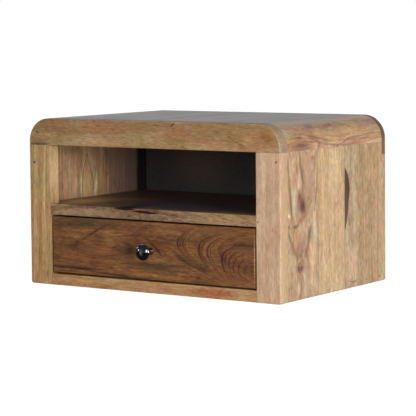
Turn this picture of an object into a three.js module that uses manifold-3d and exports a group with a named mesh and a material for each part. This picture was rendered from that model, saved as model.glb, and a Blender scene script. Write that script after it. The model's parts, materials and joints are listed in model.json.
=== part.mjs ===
// A floating nightstand in solid wood: a face frame with two big rounded corners, plank sides and top,
// an open niche, and under it one dovetailed drawer. It hangs on two keyhole plates in its back rail.
// Millimetres. X runs to the viewer's right, Y towards the wall and Z up.
// The origin is the middle of the back rail's wall face.
import * as THREE from "three";
import { mergeVertices } from "three/addons/utils/BufferGeometryUtils.js";
import Module from "manifold-3d";

const wasm = await Module();
wasm.setup();

// Outside of the cabinet
const cabinetWidth = 450;
const cabinetDepth = 300;
const cabinetHeight = 252;
const topCornerRadius = 35;
const footCornerRadius = 3;
const lowerBackRadius = 6;
const edgeEasing = 1.5;

// Face frame
const frameThickness = 19;
const stileWidth = 40;
const topRailHeight = 40;
const bottomRailHeight = 17;
const drawerOpeningHeight = 90;
const dowelRadius = 4;
const dowelLength = 36;
const dowelChamfer = 1;

// Carcass boards
const sideThickness = 16;
const topThickness = 20;
const shelfThickness = 16;
const backThickness = 18;
const housingDepth = 5;
const tongueThickness = 6;
const tongueLength = 4;
const blockLand = 4;
const beadRadius = 5;
const sidePlankShares = [0, 0.295, 0.562, 0.719, 1];
const topPlankShares = [0, 0.27, 0.48, 0.75, 1];
const backPlankShares = [0, 0.36, 0.7, 1];
const shelfJointShare = 0.47;

// Hanging rail and its keyhole plates
const hangingRailHeight = 59;
const hangingRailThickness = 12;
const hangerInset = 55;
const plateWidth = 38;
const plateHeight = 26;
const plateThickness = 2;
const plateCornerRadius = 4;
const plateSetBack = 0.3;
const plateScrewRadius = 1.8;
const plateScrewInset = 5;
const plateSinkRadius = 3.3;
const plateSinkDepth = 1.5;
const keyholeRadius = 5;
const keySlotWidth = 5.4;
const keySlotLength = 9;
const headPocketDepth = 7;
const headPocketMargin = 1.5;

// Drawer
const drawerGap = 2.5;
const drawerRecess = 1;
const drawerFrontThickness = 18;
const drawerSideThickness = 12;
const drawerHeadroom = 10;
const drawerBackThickness = 12;
const drawerBackDrop = 8;
const drawerBottomThickness = 4;
const drawerBottomRise = 8;
const drawerBottomGroove = 6;
const drawerEasing = 1;
const dovetailLap = 6;
const dovetailSlope = 0.15;
const tailShare = 0.58;
const tailCount = 3;
const guideHeight = 26;
const stopWidth = 24;
const stopHeight = 14;
const stopLength = 18;

// Knob and its screw
const knobHeadRadius = 12;
const knobRimRadius = 1.8;
const knobDomeHeight = 3;
const knobReach = 24;
const knobNeckRadius = 3.7;
const knobFootRadius = 4.8;
const knobFootHeight = 1.5;
const knobScrewRadius = 2;
const knobScrewGrip = 10;
const knobScrewHeadRadius = 4.2;
const knobScrewHeadHeight = 2.6;

// Clearances
const glueLine = 0.1;
const fitGap = 0.25;
const runningGap = 0.4;
const overrun = 2;

// Fineness of the curves
const facetLength = 2.4;
const easingSteps = 2;
const turnedSides = 32;
const boreSides = 16;
const neckSteps = 8;
const rimSteps = 6;
const domeSteps = 6;

// Places that several pieces share
const halfWidth = cabinetWidth / 2;
const sideInner = halfWidth - sideThickness;
const stileInner = halfWidth - stileWidth;
const railUnder = cabinetHeight - topRailHeight;
const topUnder = cabinetHeight - topThickness;
const shelfUnder = bottomRailHeight + drawerOpeningHeight;
const shelfTop = shelfUnder + shelfThickness;
const panelFront = frameThickness + glueLine;
const railFront = cabinetDepth - hangingRailThickness;
const panelBack = railFront - glueLine;
const backFront = railFront - backThickness;
const hangingRailUnder = cabinetHeight - hangingRailHeight;
const coveRadius = topRailHeight - topThickness;
const blockInner = sideInner - coveRadius - blockLand;
const drawerBackPlace = backFront - glueLine - stopLength - fitGap;

// Outlines

// Points along an arc, both ends included.
function arcPoints(centreX, centreY, radius, startAngle, endAngle, fewest = 2) {
  const sweep = endAngle - startAngle;
  const steps = Math.max(fewest, Math.ceil((Math.abs(sweep) * radius) / facetLength));
  return Array.from({ length: steps + 1 }, (_, i) => {
    const angle = startAngle + (sweep * i) / steps;
    return new THREE.Vector2(centreX + radius * Math.cos(angle), centreY + radius * Math.sin(angle));
  });
}

// The corners of a round hole or shaft.
function circlePoints(centreX, centreY, radius) {
  return Array.from({ length: boreSides }, (_, i) => {
    const angle = (2 * Math.PI * i) / boreSides;
    return new THREE.Vector2(centreX + radius * Math.cos(angle), centreY + radius * Math.sin(angle));
  });
}

// A closed outline through corners given as [x, y, fillet radius].
function outline(corners) {
  const points = corners.flatMap(([x, y, radius = 0], i) => {
    const corner = new THREE.Vector2(x, y);
    if (radius === 0) return [corner];
    const before = new THREE.Vector2(...corners.at(i - 1).slice(0, 2)).sub(corner).normalize();
    const after = new THREE.Vector2(...corners[(i + 1) % corners.length].slice(0, 2)).sub(corner).normalize();
    const halfAngle = Math.acos(before.dot(after)) / 2;
    const middle = before.clone().add(after).normalize();
    const centre = corner.clone().addScaledVector(middle, radius / Math.sin(halfAngle));
    const reach = radius / Math.tan(halfAngle);
    const start = corner.clone().addScaledVector(before, reach).sub(centre).angle();
    const end = corner.clone().addScaledVector(after, reach).sub(centre).angle();
    const turn = Math.atan2(Math.sin(end - start), Math.cos(end - start));
    return arcPoints(centre.x, centre.y, radius, start, start + turn);
  });
  return new THREE.Shape(points);
}

function rectangle(left, right, low, high) {
  return outline([
    [left, low],
    [right, low],
    [right, high],
    [left, high],
  ]);
}

// Solids

const unitX = new THREE.Vector3(1, 0, 0);
const unitY = new THREE.Vector3(0, 1, 0);
const unitZ = new THREE.Vector3(0, 0, 1);

// Extrusions start along Z. These turn a YZ outline to run along X, and an XZ outline to run back along Y.
const turnAlong = {
  x: new THREE.Matrix4().makeBasis(unitY, unitZ, unitX),
  y: new THREE.Matrix4().makeBasis(unitX, unitZ, unitY.clone().negate()),
  z: new THREE.Matrix4(),
};

function solidOf(geometry) {
  const bare = geometry.clone().deleteAttribute("normal").deleteAttribute("uv");
  const merged = mergeVertices(bare);
  const mesh = new wasm.Mesh({
    numProp: 3,
    vertProperties: merged.attributes.position.array,
    triVerts: new Uint32Array(merged.index.array),
  });
  return new wasm.Manifold(mesh);
}

function geometryOf(solid) {
  const mesh = solid.getMesh();
  const geometry = new THREE.BufferGeometry();
  geometry.setAttribute("position", new THREE.BufferAttribute(mesh.vertProperties, mesh.numProp));
  geometry.setIndex(new THREE.BufferAttribute(mesh.triVerts, 1));
  return geometry;
}

// A straight extrusion between two places on one axis, with its ends rounded over where an easing is given.
function prism(shape, axis, from, to, easing = 0) {
  const geometry = new THREE.ExtrudeGeometry(shape, {
    depth: to - from - 2 * easing,
    bevelEnabled: easing > 0,
    bevelThickness: easing,
    bevelSize: easing,
    bevelOffset: -easing,
    bevelSegments: easingSteps,
  });
  geometry.translate(0, 0, easing).applyMatrix4(turnAlong[axis]);
  const start = axis === "y" ? to : from;
  const move = { x: unitX, y: unitY, z: unitZ }[axis].clone().multiplyScalar(start);
  return solidOf(geometry.translate(move.x, move.y, move.z));
}

function box([left, right], [front, back], [low, high]) {
  return prism(rectangle(left, right, front, back), "z", low, high);
}

function without(solid, cutters) {
  return cutters.reduce((rest, cutter) => rest.subtract(cutter), solid);
}

// A turned piece. The profile gives [radius, height] and the axis runs along Z.
function turned(profile, sides) {
  const points = profile.map(([radius, rise]) => new THREE.Vector2(radius, rise));
  const geometry = new THREE.LatheGeometry(points, sides);
  return solidOf(geometry.rotateX(Math.PI / 2));
}

// Materials and placed pieces

function woodFinish(color, roughness = 0.5) {
  return new THREE.MeshStandardMaterial({ color, roughness, metalness: 0 });
}

function metalFinish(color, roughness) {
  return new THREE.MeshStandardMaterial({ color, roughness, metalness: 1 });
}

// A named mesh with its own origin in its middle, put back where the solid stands.
function placed(name, solid, material) {
  const geometry = geometryOf(solid).toNonIndexed();
  geometry.computeVertexNormals();
  geometry.computeBoundingBox();
  const middle = geometry.boundingBox.getCenter(new THREE.Vector3());
  geometry.translate(-middle.x, -middle.y, -middle.z);
  const mesh = new THREE.Mesh(geometry, material);
  mesh.name = name;
  mesh.position.copy(middle);
  return mesh;
}

const sides = [
  { name: "left", sign: -1 },
  { name: "right", sign: 1 },
];

// The low and high end of a span that is given for the right side.
function spanOn(sign, inner, outer) {
  return sign > 0 ? [inner, outer] : [-outer, -inner];
}

// Places along a run of planks, worked out from their shares of the run.
function plankRuns(shares, from, to) {
  const places = shares.map((share) => from + share * (to - from));
  return places.slice(1).map((end, i) => {
    const isLast = i === places.length - 2;
    return [places[i], isLast ? end : end - glueLine];
  });
}

// Cabinet

// The outer surface that the assembled cabinet is sanded to.
function sandedForm() {
  const front = outline([
    [-halfWidth, 0, footCornerRadius],
    [halfWidth, 0, footCornerRadius],
    [halfWidth, cabinetHeight, topCornerRadius],
    [-halfWidth, cabinetHeight, topCornerRadius],
  ]);
  const backArc = arcPoints(cabinetDepth - lowerBackRadius, lowerBackRadius, lowerBackRadius, 0, -Math.PI / 2);
  const lowerBackWaste = new THREE.Shape([
    new THREE.Vector2(cabinetDepth - lowerBackRadius, -overrun),
    new THREE.Vector2(cabinetDepth + overrun, -overrun),
    new THREE.Vector2(cabinetDepth + overrun, lowerBackRadius),
    ...backArc,
  ]);
  const rounded = prism(front, "y", 0, cabinetDepth, edgeEasing);
  return rounded.subtract(prism(lowerBackWaste, "x", -halfWidth - overrun, halfWidth + overrun));
}

const sanded = sandedForm();

// Solid for a dowel, or with a gap for its bore, centred on the origin and running along Z.
function dowelSolid(gap) {
  const radius = dowelRadius + gap;
  const reach = dowelLength / 2 + gap;
  const profile = [
    [0, -reach],
    [radius - dowelChamfer, -reach],
    [radius, -reach + dowelChamfer],
    [radius, reach - dowelChamfer],
    [radius - dowelChamfer, reach],
    [0, reach],
  ];
  return turned(profile, boreSides);
}

function stileDowel(sign, gap) {
  return dowelSolid(gap).translate([sign * (halfWidth - stileWidth / 2), frameThickness / 2, railUnder]);
}

function railDowel(sign, gap) {
  const lying = dowelSolid(gap).rotate([0, 90, 0]);
  return lying.translate([sign * stileInner, frameThickness / 2, bottomRailHeight / 2]);
}

function faceFrame() {
  const group = new THREE.Group();
  const depthSpan = [-overrun, frameThickness];
  const widthSpan = [-halfWidth - overrun, halfWidth + overrun];
  const topBlank = box(widthSpan, depthSpan, [railUnder, cabinetHeight + overrun]);
  const topBores = sides.map(({ sign }) => stileDowel(sign, fitGap));
  group.add(placed("front_top_rail", without(topBlank.intersect(sanded), topBores), woodFinish(0x9c7446)));

  const bottomSpan = [-stileInner + glueLine, stileInner - glueLine];
  const bottomBlank = box(bottomSpan, depthSpan, [-overrun, bottomRailHeight]);
  const groove = box(
    [-halfWidth, halfWidth],
    [frameThickness - tongueLength - fitGap, frameThickness + overrun],
    [(bottomRailHeight - tongueThickness) / 2 - fitGap, (bottomRailHeight + tongueThickness) / 2 + fitGap],
  );
  const bottomCuts = [groove, ...sides.map(({ sign }) => railDowel(sign, fitGap))];
  group.add(
    placed("front_bottom_rail", without(bottomBlank.intersect(sanded), bottomCuts), woodFinish(0xa57f55)),
  );

  for (const { name, sign } of sides) {
    const blank = box(spanOn(sign, stileInner, halfWidth + overrun), depthSpan, [-overrun, railUnder - glueLine]);
    const stile = without(blank.intersect(sanded), [stileDowel(sign, fitGap), railDowel(sign, fitGap)]);
    group.add(placed(`front_${name}_stile`, stile, woodFinish(sign > 0 ? 0xbc9c7e : 0xa48459)));
    group.add(placed(`${name}_stile_dowel`, stileDowel(sign, 0), woodFinish(0xc8a878, 0.7)));
    group.add(placed(`${name}_rail_dowel`, railDowel(sign, 0), woodFinish(0xc8a878, 0.7)));
  }
  return group;
}

// Corner block: square outside until it is sanded, hollowed to a cove inside.
function cornerBlock(name, sign) {
  const section = outline([
    [sign * sideInner, railUnder],
    [sign * (halfWidth + overrun), railUnder],
    [sign * (halfWidth + overrun), cabinetHeight + overrun],
    [sign * blockInner, cabinetHeight + overrun],
    [sign * blockInner, topUnder],
    [sign * sideInner, topUnder, coveRadius],
  ]);
  const blank = prism(section, "y", panelFront, panelBack);
  return placed(`${name}_corner_block`, blank.intersect(sanded), woodFinish(0xaf8a67, 0.45));
}

function topPlanks() {
  const colours = [0xa57c50, 0x96693f, 0xa8835a, 0x9c744a];
  const runs = plankRuns(topPlankShares, -blockInner + glueLine, blockInner - glueLine);
  return runs.map((run, i) => {
    const blank = box(run, [panelFront, panelBack], [topUnder, cabinetHeight + overrun]);
    return placed(`top_plank_${i + 1}`, blank.intersect(sanded), woodFinish(colours[i], 0.4));
  });
}

// Side of four upright planks, housed for the shelf. The rear one is notched for the hanging rail.
function sidePlanks(name, sign) {
  const colours = [0xba9a7b, 0xcdac85, 0xbfa182, 0xb99875];
  const across = spanOn(sign, sideInner, halfWidth + overrun);
  const housing = box(
    spanOn(sign, sideInner - overrun, sideInner + housingDepth),
    [0, backFront],
    [shelfUnder - fitGap, shelfTop + fitGap],
  );
  const railNotch = box(
    spanOn(sign, sideInner - overrun, halfWidth + 2 * overrun),
    [railFront - glueLine, cabinetDepth + 2 * overrun],
    [hangingRailUnder - glueLine, cabinetHeight],
  );
  return plankRuns(sidePlankShares, panelFront, cabinetDepth).map((run, i, runs) => {
    const isRear = i === runs.length - 1;
    const reach = isRear ? [run[0], run[1] + overrun] : run;
    const blank = box(across, reach, [-overrun, railUnder - glueLine]).intersect(sanded);
    const cut = without(blank, isRear ? [housing, railNotch] : [housing]);
    return placed(`${name}_side_plank_${i + 1}`, cut, woodFinish(colours[i]));
  });
}

// Shelf in two planks: the front one fills the frame's opening and is notched round the stiles.
function shelfPlanks() {
  const tenon = sideInner + housingDepth - fitGap;
  const joint = panelFront + shelfJointShare * (backFront - panelFront);
  const lip = stileInner - glueLine;
  const frontPlan = outline([
    [-lip, -overrun],
    [lip, -overrun],
    [lip, panelFront],
    [tenon, panelFront],
    [tenon, joint - glueLine],
    [-tenon, joint - glueLine],
    [-tenon, panelFront],
    [-lip, panelFront],
  ]);
  const front = prism(frontPlan, "z", shelfUnder, shelfTop).intersect(sanded);
  const rear = box([-tenon, tenon], [joint, backFront - fitGap], [shelfUnder, shelfTop]);
  return [
    placed("shelf_front_plank", front, woodFinish(0x8d6d50)),
    placed("shelf_rear_plank", rear, woodFinish(0x7f5f44)),
  ];
}

// Bottom board with a tongue for the front rail. The drawer slides on it.
function bottomBoard() {
  const tongueLow = (bottomRailHeight - tongueThickness) / 2;
  const section = outline([
    [panelFront, -overrun],
    [cabinetDepth + overrun, -overrun],
    [cabinetDepth + overrun, bottomRailHeight],
    [panelFront, bottomRailHeight],
    [panelFront, tongueLow + tongueThickness],
    [frameThickness - tongueLength, tongueLow + tongueThickness],
    [frameThickness - tongueLength, tongueLow],
    [panelFront, tongueLow],
  ]);
  const board = prism(section, "x", -sideInner + glueLine, sideInner - glueLine).intersect(sanded);
  const stileNotches = sides.map(({ sign }) =>
    box(spanOn(sign, stileInner - glueLine, halfWidth), [0, panelFront], [0, bottomRailHeight]),
  );
  return placed("bottom_board", without(board, stileNotches), woodFinish(0xb08f66, 0.6));
}

// Back of three lying planks. The top one is rounded to the coves of the corner blocks.
function backPlanks() {
  const edge = sideInner - glueLine;
  const low = bottomRailHeight + glueLine;
  const high = topUnder - glueLine;
  return plankRuns(backPlankShares, low, high).map((run, i, runs) => {
    const roundTop = i === runs.length - 1 ? coveRadius - glueLine : 0;
    const face = outline([
      [-edge, run[0]],
      [edge, run[0]],
      [edge, run[1], roundTop],
      [-edge, run[1], roundTop],
    ]);
    return placed(`back_plank_${i + 1}`, prism(face, "y", backFront, panelBack), woodFinish(0x8a6a4a, 0.6));
  });
}

function nicheBead(name, sign) {
  const edge = sign * (sideInner - glueLine);
  const rear = backFront - glueLine;
  const section = outline([
    [edge, rear],
    [edge - sign * beadRadius, rear],
    [edge - sign * beadRadius, rear - beadRadius, beadRadius - glueLine],
    [edge, rear - beadRadius],
  ]);
  return placed(
    `${name}_niche_bead`,
    prism(section, "z", shelfTop + glueLine, railUnder),
    woodFinish(0x6e4a33, 0.6),
  );
}

// Keyhole plate: a rounded plate with one keyhole and two sunk screw holes, drawn round its own middle.
function platePlan(gap) {
  const acrossHalf = plateWidth / 2 + gap;
  const uprightHalf = plateHeight / 2 + gap;
  const radius = plateCornerRadius + gap;
  return outline([
    [-acrossHalf, -uprightHalf, radius],
    [acrossHalf, -uprightHalf, radius],
    [acrossHalf, uprightHalf, radius],
    [-acrossHalf, uprightHalf, radius],
  ]);
}

// The keyhole: a round entry with a slot above it for the wall screw's shank.
function keyholePath(grow) {
  const entry = keyholeRadius + grow;
  const slot = keySlotWidth / 2 + grow;
  const entryHeight = -keySlotLength / 2;
  const slotHeight = entryHeight + keySlotLength;
  const lean = Math.asin(slot / entry);
  return [
    ...arcPoints(0, entryHeight, entry, Math.PI / 2 + lean, (5 * Math.PI) / 2 - lean),
    ...arcPoints(0, slotHeight, slot, 0, Math.PI),
  ];
}

function hangerPlate() {
  const plan = platePlan(0);
  plan.holes.push(new THREE.Path(keyholePath(0)));
  const screwHole = turned(
    [
      [0, -plateThickness - overrun],
      [plateScrewRadius, -plateThickness - overrun],
      [plateScrewRadius, -plateSinkDepth],
      [plateSinkRadius, 0],
      [plateSinkRadius, overrun],
      [0, overrun],
    ],
    boreSides,
  ).rotate([-90, 0, 0]);
  const screwHoles = sides.map(({ sign }) =>
    screwHole.translate([sign * (plateWidth / 2 - plateScrewInset), 0, 0]),
  );
  return without(prism(plan, "y", -plateThickness, 0), screwHoles);
}

// Room in the rail for a plate, with a deeper pocket for the wall screw's head.
function hangerPocket() {
  const floor = -plateThickness - fitGap;
  const seat = prism(platePlan(fitGap), "y", floor, overrun + plateSetBack);
  const reachX = keyholeRadius + headPocketMargin;
  const lowEnd = -keySlotLength / 2 - reachX;
  const highEnd = keySlotLength / 2 + reachX;
  const round = reachX - headPocketMargin;
  const pocketPlan = outline([
    [-reachX, lowEnd, round],
    [reachX, lowEnd, round],
    [reachX, highEnd, round],
    [-reachX, highEnd, round],
  ]);
  return seat.add(prism(pocketPlan, "y", floor - headPocketDepth, floor + plateThickness));
}

function hangingRail() {
  const group = new THREE.Group();
  const railMiddle = cabinetHeight - hangingRailHeight / 2;
  const seatPlane = cabinetDepth - plateSetBack;
  const blank = box(
    [-halfWidth - overrun, halfWidth + overrun],
    [railFront, cabinetDepth + overrun],
    [hangingRailUnder, cabinetHeight + overrun],
  );
  const placeOf = (sign) => [sign * (halfWidth - hangerInset), seatPlane, railMiddle];
  const pockets = sides.map(({ sign }) => hangerPocket().translate(placeOf(sign)));
  group.add(placed("back_hanging_rail", without(blank.intersect(sanded), pockets), woodFinish(0x997a5d)));
  for (const { name, sign } of sides) {
    const plate = hangerPlate().translate(placeOf(sign));
    group.add(placed(`${name}_hanger_plate`, plate, metalFinish(0xa9a9a4, 0.4)));
  }
  return group;
}

// Guide beside the drawer and stop behind it, both on the bottom board.
function drawerGuide(name, sign) {
  const low = bottomRailHeight + glueLine;
  const rear = backFront - glueLine;
  const guide = box(spanOn(sign, stileInner, sideInner - glueLine), [panelFront, rear], [low, low + guideHeight]);
  const stopInner = stileInner - glueLine - stopWidth;
  const stopReach = [rear - stopLength, rear];
  const stop = box(spanOn(sign, stopInner, stileInner - glueLine), stopReach, [low, low + stopHeight]);
  return [
    placed(`${name}_drawer_guide`, guide, woodFinish(0xb8976d, 0.7)),
    placed(`${name}_drawer_stop`, stop, woodFinish(0xb8976d, 0.7)),
  ];
}

function cabinet() {
  const group = new THREE.Group();
  group.add(faceFrame(), hangingRail(), bottomBoard(), ...topPlanks(), ...shelfPlanks(), ...backPlanks());
  for (const { name, sign } of sides) {
    group.add(cornerBlock(name, sign), nicheBead(name, sign));
    group.add(...sidePlanks(name, sign), ...drawerGuide(name, sign));
  }
  return group;
}

// Drawer, drawn from the middle of its own front, with the bottom board's top at zero height

const drawerLength = drawerBackPlace - drawerRecess;
const drawerSideHeight = drawerOpeningHeight - drawerHeadroom;
const drawerHalf = stileInner - drawerGap;
const drawerSideInner = drawerHalf - drawerSideThickness;
const grooveLow = runningGap + drawerBottomRise;
const grooveHigh = grooveLow + drawerBottomThickness + 2 * fitGap;
const drawerBackTop = drawerSideHeight - drawerBackDrop;

// Tails in a side's end, from root to tip, as a list of four-cornered outlines in the side's own plane.
function tailOutlines(rootY, tipY, low, high, grow) {
  const pitch = (high - low) / tailCount;
  const rootHalf = (pitch * tailShare) / 2 + grow;
  const tipHalf = rootHalf + Math.abs(tipY - rootY) * dovetailSlope;
  return Array.from({ length: tailCount }, (_, i) => {
    const centre = low + (i + 0.5) * pitch;
    return [
      [rootY, centre - rootHalf],
      [tipY, centre - tipHalf],
      [tipY, centre + tipHalf],
      [rootY, centre + rootHalf],
    ];
  });
}

// Both rows of tails, as the side carries them or grown into the sockets that take them.
const frontTails = (grow) =>
  tailOutlines(drawerFrontThickness + glueLine, dovetailLap + fitGap - grow, drawerGap, drawerSideHeight, grow);
const backTails = (grow) =>
  tailOutlines(
    drawerLength - drawerBackThickness - glueLine,
    drawerLength + grow,
    grooveHigh,
    drawerBackTop,
    grow,
  );

function drawerSide(name, sign) {
  const rearShoulder = drawerLength - drawerBackThickness - glueLine;
  const profile = outline([
    [drawerFrontThickness + glueLine, runningGap],
    [drawerLength, runningGap],
    [drawerLength, grooveHigh - glueLine],
    [rearShoulder, grooveHigh - glueLine],
    ...backTails(0).flat(),
    [rearShoulder, drawerBackTop + glueLine],
    [drawerLength, drawerBackTop + glueLine],
    [drawerLength, drawerSideHeight],
    [drawerFrontThickness + glueLine, drawerSideHeight],
    ...frontTails(0).reverse().flatMap((tail) => tail.reverse()),
  ]);
  const board = prism(profile, "x", ...spanOn(sign, drawerSideInner, drawerHalf));
  const groove = box(
    spanOn(sign, drawerSideInner - overrun, drawerSideInner + drawerBottomGroove),
    [0, drawerLength + overrun],
    [grooveLow, grooveHigh],
  );
  return placed(`drawer_${name}_side`, board.subtract(groove), woodFinish(0xc3a274, 0.65));
}

function sockets(tails) {
  return sides.flatMap(({ sign }) =>
    tails.map((tail) =>
      prism(outline(tail), "x", ...spanOn(sign, drawerSideInner - fitGap, drawerHalf + overrun)),
    ),
  );
}

function drawerFront() {
  const low = drawerGap;
  const high = drawerOpeningHeight - drawerGap;
  const face = rectangle(-drawerHalf, drawerHalf, low, high);
  const thick = prism(face, "y", 0, drawerFrontThickness + 2 * overrun, drawerEasing);
  const behind = box(
    [-halfWidth, halfWidth],
    [drawerFrontThickness, drawerFrontThickness + 3 * overrun],
    [-overrun, drawerOpeningHeight],
  );
  const groove = box(
    [-drawerSideInner - drawerBottomGroove, drawerSideInner + drawerBottomGroove],
    [drawerFrontThickness - drawerBottomGroove, drawerFrontThickness + overrun],
    [grooveLow, grooveHigh],
  );
  const hole = new THREE.Shape(circlePoints(0, drawerOpeningHeight / 2, knobScrewRadius + fitGap));
  const bore = prism(hole, "y", -overrun, drawerFrontThickness + overrun);
  const cuts = [behind, groove, bore, ...sockets(frontTails(fitGap))];
  return placed("drawer_front", without(thick, cuts), woodFinish(0x6b472f, 0.4));
}

function drawerBack() {
  const depthSpan = [drawerLength - drawerBackThickness, drawerLength];
  const board = box([-drawerHalf, drawerHalf], depthSpan, [grooveHigh, drawerBackTop]);
  return placed("drawer_back", without(board, sockets(backTails(fitGap))), woodFinish(0xc3a274, 0.65));
}

function drawerBottom() {
  const reach = drawerSideInner + drawerBottomGroove - fitGap;
  const front = drawerFrontThickness - drawerBottomGroove + fitGap;
  const low = grooveLow + fitGap;
  const sheet = box([-reach, reach], [front, drawerLength], [low, low + drawerBottomThickness]);
  return placed("drawer_bottom", sheet, woodFinish(0xcfb488, 0.7));
}

// Knob: a slim neck rising from a small foot into a wide head with a rounded rim and a low dome.
function knob() {
  const rimMiddle = knobReach - knobDomeHeight - knobRimRadius;
  const headUnder = rimMiddle - knobRimRadius;
  const rimInner = knobHeadRadius - knobRimRadius;
  const neck = new THREE.CubicBezierCurve(
    new THREE.Vector2(knobFootRadius, knobFootHeight),
    new THREE.Vector2(knobNeckRadius, knobFootHeight + knobFootRadius),
    new THREE.Vector2(knobNeckRadius, headUnder),
    new THREE.Vector2(rimInner, headUnder),
  );
  const rim = arcPoints(rimInner, rimMiddle, knobRimRadius, -Math.PI / 2, Math.PI / 2, rimSteps);
  const dome = new THREE.QuadraticBezierCurve(
    new THREE.Vector2(rimInner, rimMiddle + knobRimRadius),
    new THREE.Vector2(knobHeadRadius / 2, knobReach),
    new THREE.Vector2(0, knobReach),
  );
  const boreRadius = knobScrewRadius + fitGap;
  const curve = [...neck.getPoints(neckSteps), ...rim.slice(1), ...dome.getPoints(domeSteps).slice(1)];
  const profile = [
    [0, knobScrewGrip + fitGap],
    [boreRadius, knobScrewGrip + fitGap],
    [boreRadius, 0],
    [knobFootRadius, 0],
    ...curve.map(({ x, y }) => [x, y]),
  ];
  const mesh = new THREE.Mesh(geometryOf(turned(profile, turnedSides)), metalFinish(0x2b2725, 0.16));
  mesh.name = "drawer_knob";
  return mesh;
}

function knobScrew() {
  const grip = knobScrewGrip;
  const seat = -drawerFrontThickness - glueLine;
  const head = [
    [0, seat - knobScrewHeadHeight],
    [knobScrewHeadRadius / 2, seat - knobScrewHeadHeight],
    [knobScrewHeadRadius, seat - knobScrewHeadHeight / 3],
    [knobScrewHeadRadius, seat],
  ];
  const profile = [...head, [knobScrewRadius, seat], [knobScrewRadius, grip], [0, grip]];
  const mesh = new THREE.Mesh(geometryOf(turned(profile, boreSides)), metalFinish(0x8f8f8c, 0.35));
  mesh.name = "drawer_knob_screw";
  return mesh;
}

function drawer() {
  const group = new THREE.Group();
  group.add(drawerFront(), drawerBack(), drawerBottom());
  for (const { name, sign } of sides) group.add(drawerSide(name, sign));
  const hardware = new THREE.Group();
  hardware.add(knob(), knobScrew());
  hardware.rotation.x = Math.PI / 2;
  hardware.position.set(0, -glueLine, drawerOpeningHeight / 2);
  group.add(hardware);
  group.position.set(0, drawerRecess, bottomRailHeight);
  return group;
}

const nightstand = new THREE.Group();
nightstand.name = "floating_nightstand";
nightstand.add(cabinet(), drawer());
nightstand.position.set(0, -cabinetDepth, hangingRailHeight / 2 - cabinetHeight);

const root = new THREE.Group();
root.add(nightstand);
root.updateMatrixWorld(true);

export default root;
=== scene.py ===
# Looks of a floating nightstand in solid wood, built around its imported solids.
# Metres, Z up; X to the viewer's right, Y towards the wall. What the wood, the metal, the knob and the
# fasteners are made by is written in millimetres, and marks in the wood are placed from the cabinet's
# middle, front and foot.
import json
import math
import bmesh
import bpy
from mathutils import Matrix, Vector


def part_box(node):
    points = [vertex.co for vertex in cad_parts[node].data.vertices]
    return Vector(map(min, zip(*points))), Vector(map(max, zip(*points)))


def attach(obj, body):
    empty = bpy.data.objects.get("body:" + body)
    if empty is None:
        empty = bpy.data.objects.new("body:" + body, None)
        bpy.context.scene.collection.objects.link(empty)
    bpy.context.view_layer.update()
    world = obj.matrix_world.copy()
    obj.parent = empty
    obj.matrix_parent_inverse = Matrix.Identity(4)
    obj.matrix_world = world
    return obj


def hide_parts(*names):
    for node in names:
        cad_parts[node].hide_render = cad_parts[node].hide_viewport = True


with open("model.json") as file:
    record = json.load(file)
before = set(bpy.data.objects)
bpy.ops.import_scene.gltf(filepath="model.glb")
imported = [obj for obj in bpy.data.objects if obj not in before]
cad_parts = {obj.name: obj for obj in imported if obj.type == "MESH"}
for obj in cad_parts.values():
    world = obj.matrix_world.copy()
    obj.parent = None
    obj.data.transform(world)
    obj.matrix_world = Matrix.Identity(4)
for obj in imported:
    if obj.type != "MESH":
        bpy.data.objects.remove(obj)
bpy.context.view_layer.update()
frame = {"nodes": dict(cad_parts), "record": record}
print("frame loaded:", len(frame["nodes"]), "solids")

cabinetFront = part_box("front_top_rail")[0].y
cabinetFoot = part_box("front_left_stile")[0].z
perMetre = 1000  # millimetres


def linked(name, data):
    made = bpy.data.objects.new(name, data)
    bpy.context.scene.collection.objects.link(made)
    return made


# Camera

camera = {
    "place": (1.601, -2.4826, 0.1631),
    "azimuth": 34.441,  # degrees to the right of the front
    "pitch": 3.524,  # degrees downwards
    "roll": -0.5354,
    "lens": 161.44,  # on a 36 mm sensor
    "shift": -0.1559,  # keeps the uprights parallel
    "farthest": 100,
}


def makeCamera(values):
    data = bpy.data.cameras.new("camera")
    data.lens = values["lens"]
    data.shift_y = values["shift"]
    data.clip_end = values["farthest"]
    turn = Matrix.Rotation(math.radians(values["azimuth"]), 4, "Z")
    tilt = Matrix.Rotation(math.radians(90 - values["pitch"]), 4, "X")
    roll = Matrix.Rotation(math.radians(values["roll"]), 4, "Z")
    made = linked("camera", data)
    made.matrix_world = Matrix.Translation(values["place"]) @ turn @ tilt @ roll
    bpy.context.scene.camera = made


# Shader sheets


class Wire:
    # one output socket, on which sums and products add Math nodes
    def __init__(self, sheet, socket):
        self.sheet = sheet
        self.socket = socket

    def out(self, name):
        return Wire(self.sheet, self.socket.node.outputs[name])

    def swing(self, reach):
        # noise lies round 0.5
        return (self - 0.5) * reach

    def __add__(self, other):
        return self.sheet.maths("ADD", self, other)

    def __sub__(self, other):
        return self.sheet.maths("SUBTRACT", self, other)

    def __rsub__(self, other):
        return self.sheet.maths("SUBTRACT", other, self)

    def __mul__(self, other):
        return self.sheet.maths("MULTIPLY", self, other)

    def __truediv__(self, other):
        return self.sheet.maths("DIVIDE", self, other)

    def __pow__(self, other):
        return self.sheet.maths("POWER", self, other)

    __radd__ = __add__
    __rmul__ = __mul__


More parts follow.
